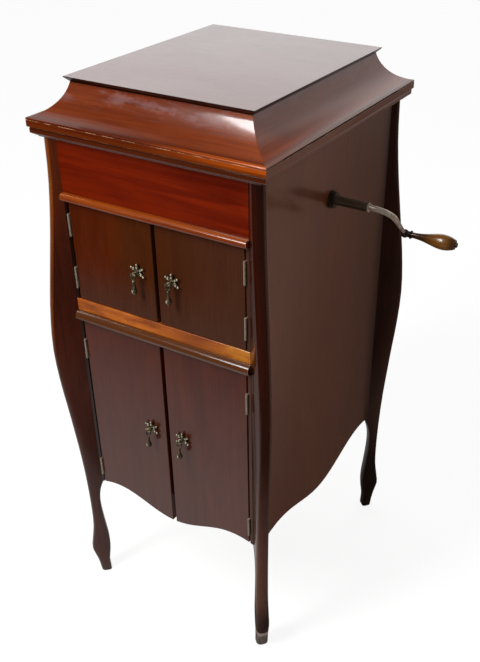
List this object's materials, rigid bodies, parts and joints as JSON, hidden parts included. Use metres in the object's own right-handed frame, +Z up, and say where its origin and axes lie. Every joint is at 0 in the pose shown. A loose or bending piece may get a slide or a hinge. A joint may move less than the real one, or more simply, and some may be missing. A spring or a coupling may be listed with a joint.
{
  "type": "cabinet gramophone",
  "caption": "Floor-standing wooden cabinet gramophone with a coved hinged lid over a turntable, paired doors, drop handles, swelling legs and a side winding crank.",
  "frame": {"origin": "on the floor, under the middle of the cabinet", "axes": "+Z up, the doors face -Y, the crank stands out towards +X"},
  "size_m": [0.5978, 0.519, 1],
  "materials": {
    "leg_mahogany": "french polished mahogany, dark",
    "side_mahogany": "french polished mahogany, satin",
    "front_mahogany": "french polished mahogany, red",
    "moulding_mahogany": "french polished mahogany with worn bright edges",
    "lid_mahogany": "french polished mahogany, glossy",
    "door_mahogany": "french polished mahogany, upright grain",
    "board_mahogany": "polished mahogany",
    "plain_wood": "stained softwood and ply",
    "hinge_brass": "pale aged brass",
    "handle_brass": "antique cast brass",
    "dark_bronze": "bronzed",
    "crank_steel": "worn nickel plate on steel",
    "grip_wood": "varnished amber wood",
    "nickel": "nickel plate",
    "felt": "green felt",
    "motor_steel": "turned steel",
    "motor_brass": "machined brass",
    "motor_iron": "japanned iron"
  },
  "bodies": {
    "cabinet": {"leg_front_left": "leg_mahogany", "leg_front_right": "leg_mahogany", "leg_rear_left": "leg_mahogany", "leg_rear_right": "leg_mahogany", "side_panel_left": "side_mahogany", "side_panel_right": "side_mahogany", "fascia": "front_mahogany", "front_stiles": "front_mahogany", "fascia_bead": "moulding_mahogany", "mid_bead": "moulding_mahogany", "mid_rail": "moulding_mahogany", "top_moulding": "moulding_mahogany", "motor_board": "board_mahogany", "horn_slats": "board_mahogany", "back_panel": "plain_wood", "deck_cleats": "plain_wood", "horn_shelf": "plain_wood", "cupboard_floor": "plain_wood", "record_dividers": "plain_wood", "horn": "plain_wood", "fixed_hinge_leaves": "hinge_brass", "stay_guide": "hinge_brass", "crank_escutcheon": "dark_bronze", "needle_cups": "nickel", "speed_dial": "nickel", "arm_bracket": "nickel", "motor_frame": "motor_iron"},
    "lid": {"lid_top": "lid_mahogany", "lid_cove": "lid_mahogany", "lid_hinge_straps": "hinge_brass", "lid_stay": "hinge_brass"},
    "upper_left_door": {"upper_door_left": "door_mahogany", "upper_left_hinges": "hinge_brass", "upper_left_plate": "handle_brass"},
    "upper_right_door": {"upper_door_right": "door_mahogany", "upper_right_hinges": "hinge_brass", "upper_right_plate": "handle_brass"},
    "lower_left_door": {"lower_door_left": "door_mahogany", "lower_left_hinges": "hinge_brass", "lower_left_plate": "handle_brass"},
    "lower_right_door": {"lower_door_right": "door_mahogany", "lower_right_hinges": "hinge_brass", "lower_right_plate": "handle_brass"},
    "upper_left_drop": {"upper_left_drop": "handle_brass"},
    "upper_right_drop": {"upper_right_drop": "handle_brass"},
    "lower_left_drop": {"lower_left_drop": "handle_brass"},
    "lower_right_drop": {"lower_right_drop": "handle_brass"},
    "crank": {"winding_shaft": "motor_steel", "crank_arm": "crank_steel"},
    "crank_grip": {"crank_grip": "grip_wood"},
    "winding_arbor": {"winding_arbor": "motor_steel"},
    "spring_barrel": {"spring_barrel": "motor_brass"},
    "turntable": {"turntable": "nickel", "turntable_felt": "felt", "spindle": "motor_steel"},
    "governor": {"governor": "motor_brass"},
    "tone_arm": {"tone_arm": "nickel"},
    "sound_box": {"sound_box": "nickel"},
    "brake_lever": {"brake_lever": "nickel"},
    "speed_lever": {"speed_lever": "nickel"}
  },
  "joints": [
    {"name": "lid_hinge", "type": "hinge", "parent": "cabinet", "child": "lid", "pos_m": [0, 0.2461, 0.94075], "axis": [-1, 0, 0], "range_deg": [0, 74]},
    {"name": "upper_left_door_hinge", "type": "hinge", "parent": "cabinet", "child": "upper_left_door", "pos_m": [-0.16424, -0.2281, 0.728], "axis": [0, 0, -1], "range_deg": [0, 110]},
    {"name": "upper_left_drop_swing", "type": "hinge", "parent": "upper_left_door", "child": "upper_left_drop", "pos_m": [-0.033, -0.24, 0.7255], "axis": [-1, 0, 0], "range_deg": [0, 85]},
    {"name": "upper_right_door_hinge", "type": "hinge", "parent": "cabinet", "child": "upper_right_door", "pos_m": [0.16424, -0.2281, 0.728], "axis": [0, 0, 1], "range_deg": [0, 110]},
    {"name": "upper_right_drop_swing", "type": "hinge", "parent": "upper_right_door", "child": "upper_right_drop", "pos_m": [0.033, -0.24, 0.7255], "axis": [-1, 0, 0], "range_deg": [0, 85]},
    {"name": "lower_left_door_hinge", "type": "hinge", "parent": "cabinet", "child": "lower_left_door", "pos_m": [-0.16424, -0.2281, 0.42], "axis": [0, 0, -1], "range_deg": [0, 110]},
    {"name": "lower_left_drop_swing", "type": "hinge", "parent": "lower_left_door", "child": "lower_left_drop", "pos_m": [-0.033, -0.24, 0.422], "axis": [-1, 0, 0], "range_deg": [0, 85]},
    {"name": "lower_right_door_hinge", "type": "hinge", "parent": "cabinet", "child": "lower_right_door", "pos_m": [0.16424, -0.2281, 0.42], "axis": [0, 0, 1], "range_deg": [0, 110]},
    {"name": "lower_right_drop_swing", "type": "hinge", "parent": "lower_right_door", "child": "lower_right_drop", "pos_m": [0.033, -0.24, 0.422], "axis": [-1, 0, 0], "range_deg": [0, 85]},
    {"name": "crank_turn", "type": "hinge", "parent": "cabinet", "child": "crank", "pos_m": [0.187, -0.004, 0.813], "axis": [1, 0, 0], "continuous": true},
    {"name": "grip_spin", "type": "hinge", "parent": "crank", "child": "crank_grip", "pos_m": [0.337, 0.06511, 0.75077], "axis": [1, 0, 0], "continuous": true},
    {"name": "arbor_turn", "type": "hinge", "parent": "cabinet", "child": "winding_arbor", "pos_m": [0.05658, -0.004, 0.813], "axis": [0, 0, 1], "continuous": true},
    {"name": "turntable_spin", "type": "hinge", "parent": "cabinet", "child": "turntable", "pos_m": [0, -0.036, 0.9155], "axis": [0, 0, 1], "continuous": true},
    {"name": "barrel_turn", "type": "hinge", "parent": "cabinet", "child": "spring_barrel", "pos_m": [0.05658, -0.004, 0.85], "axis": [0, 0, 1], "continuous": true},
    {"name": "governor_spin", "type": "hinge", "parent": "cabinet", "child": "governor", "pos_m": [-0.03383, -0.04831, 0.82], "axis": [0, 0, 1], "continuous": true},
    {"name": "tone_arm_swing", "type": "hinge", "parent": "cabinet", "child": "tone_arm", "pos_m": [0.088, 0.138, 0.893], "axis": [0, 0, 1], "range_deg": [-27, 2]},
    {"name": "sound_box_turn", "type": "hinge", "parent": "tone_arm", "child": "sound_box", "pos_m": [0.12455, -0.05913, 0.957], "axis": [-0.9936, -0.1132, 0], "range_deg": [0, 95]},
    {"name": "brake_swing", "type": "hinge", "parent": "cabinet", "child": "brake_lever", "pos_m": [-0.12092, -0.10883, 0.893], "axis": [0, 0, -1], "range_deg": [0, 20]},
    {"name": "speed_turn", "type": "hinge", "parent": "cabinet", "child": "speed_lever", "pos_m": [-0.128, 0.128, 0.893], "axis": [0, 0, 1], "range_deg": [-40, 40]}
  ],
  "couplings": [
    {"joint": "arbor_turn", "follows": "crank_turn", "ratio": 1},
    {"joint": "barrel_turn", "follows": "turntable_spin", "ratio": -0.25},
    {"joint": "governor_spin", "follows": "turntable_spin", "ratio": -3.8}
  ]
}
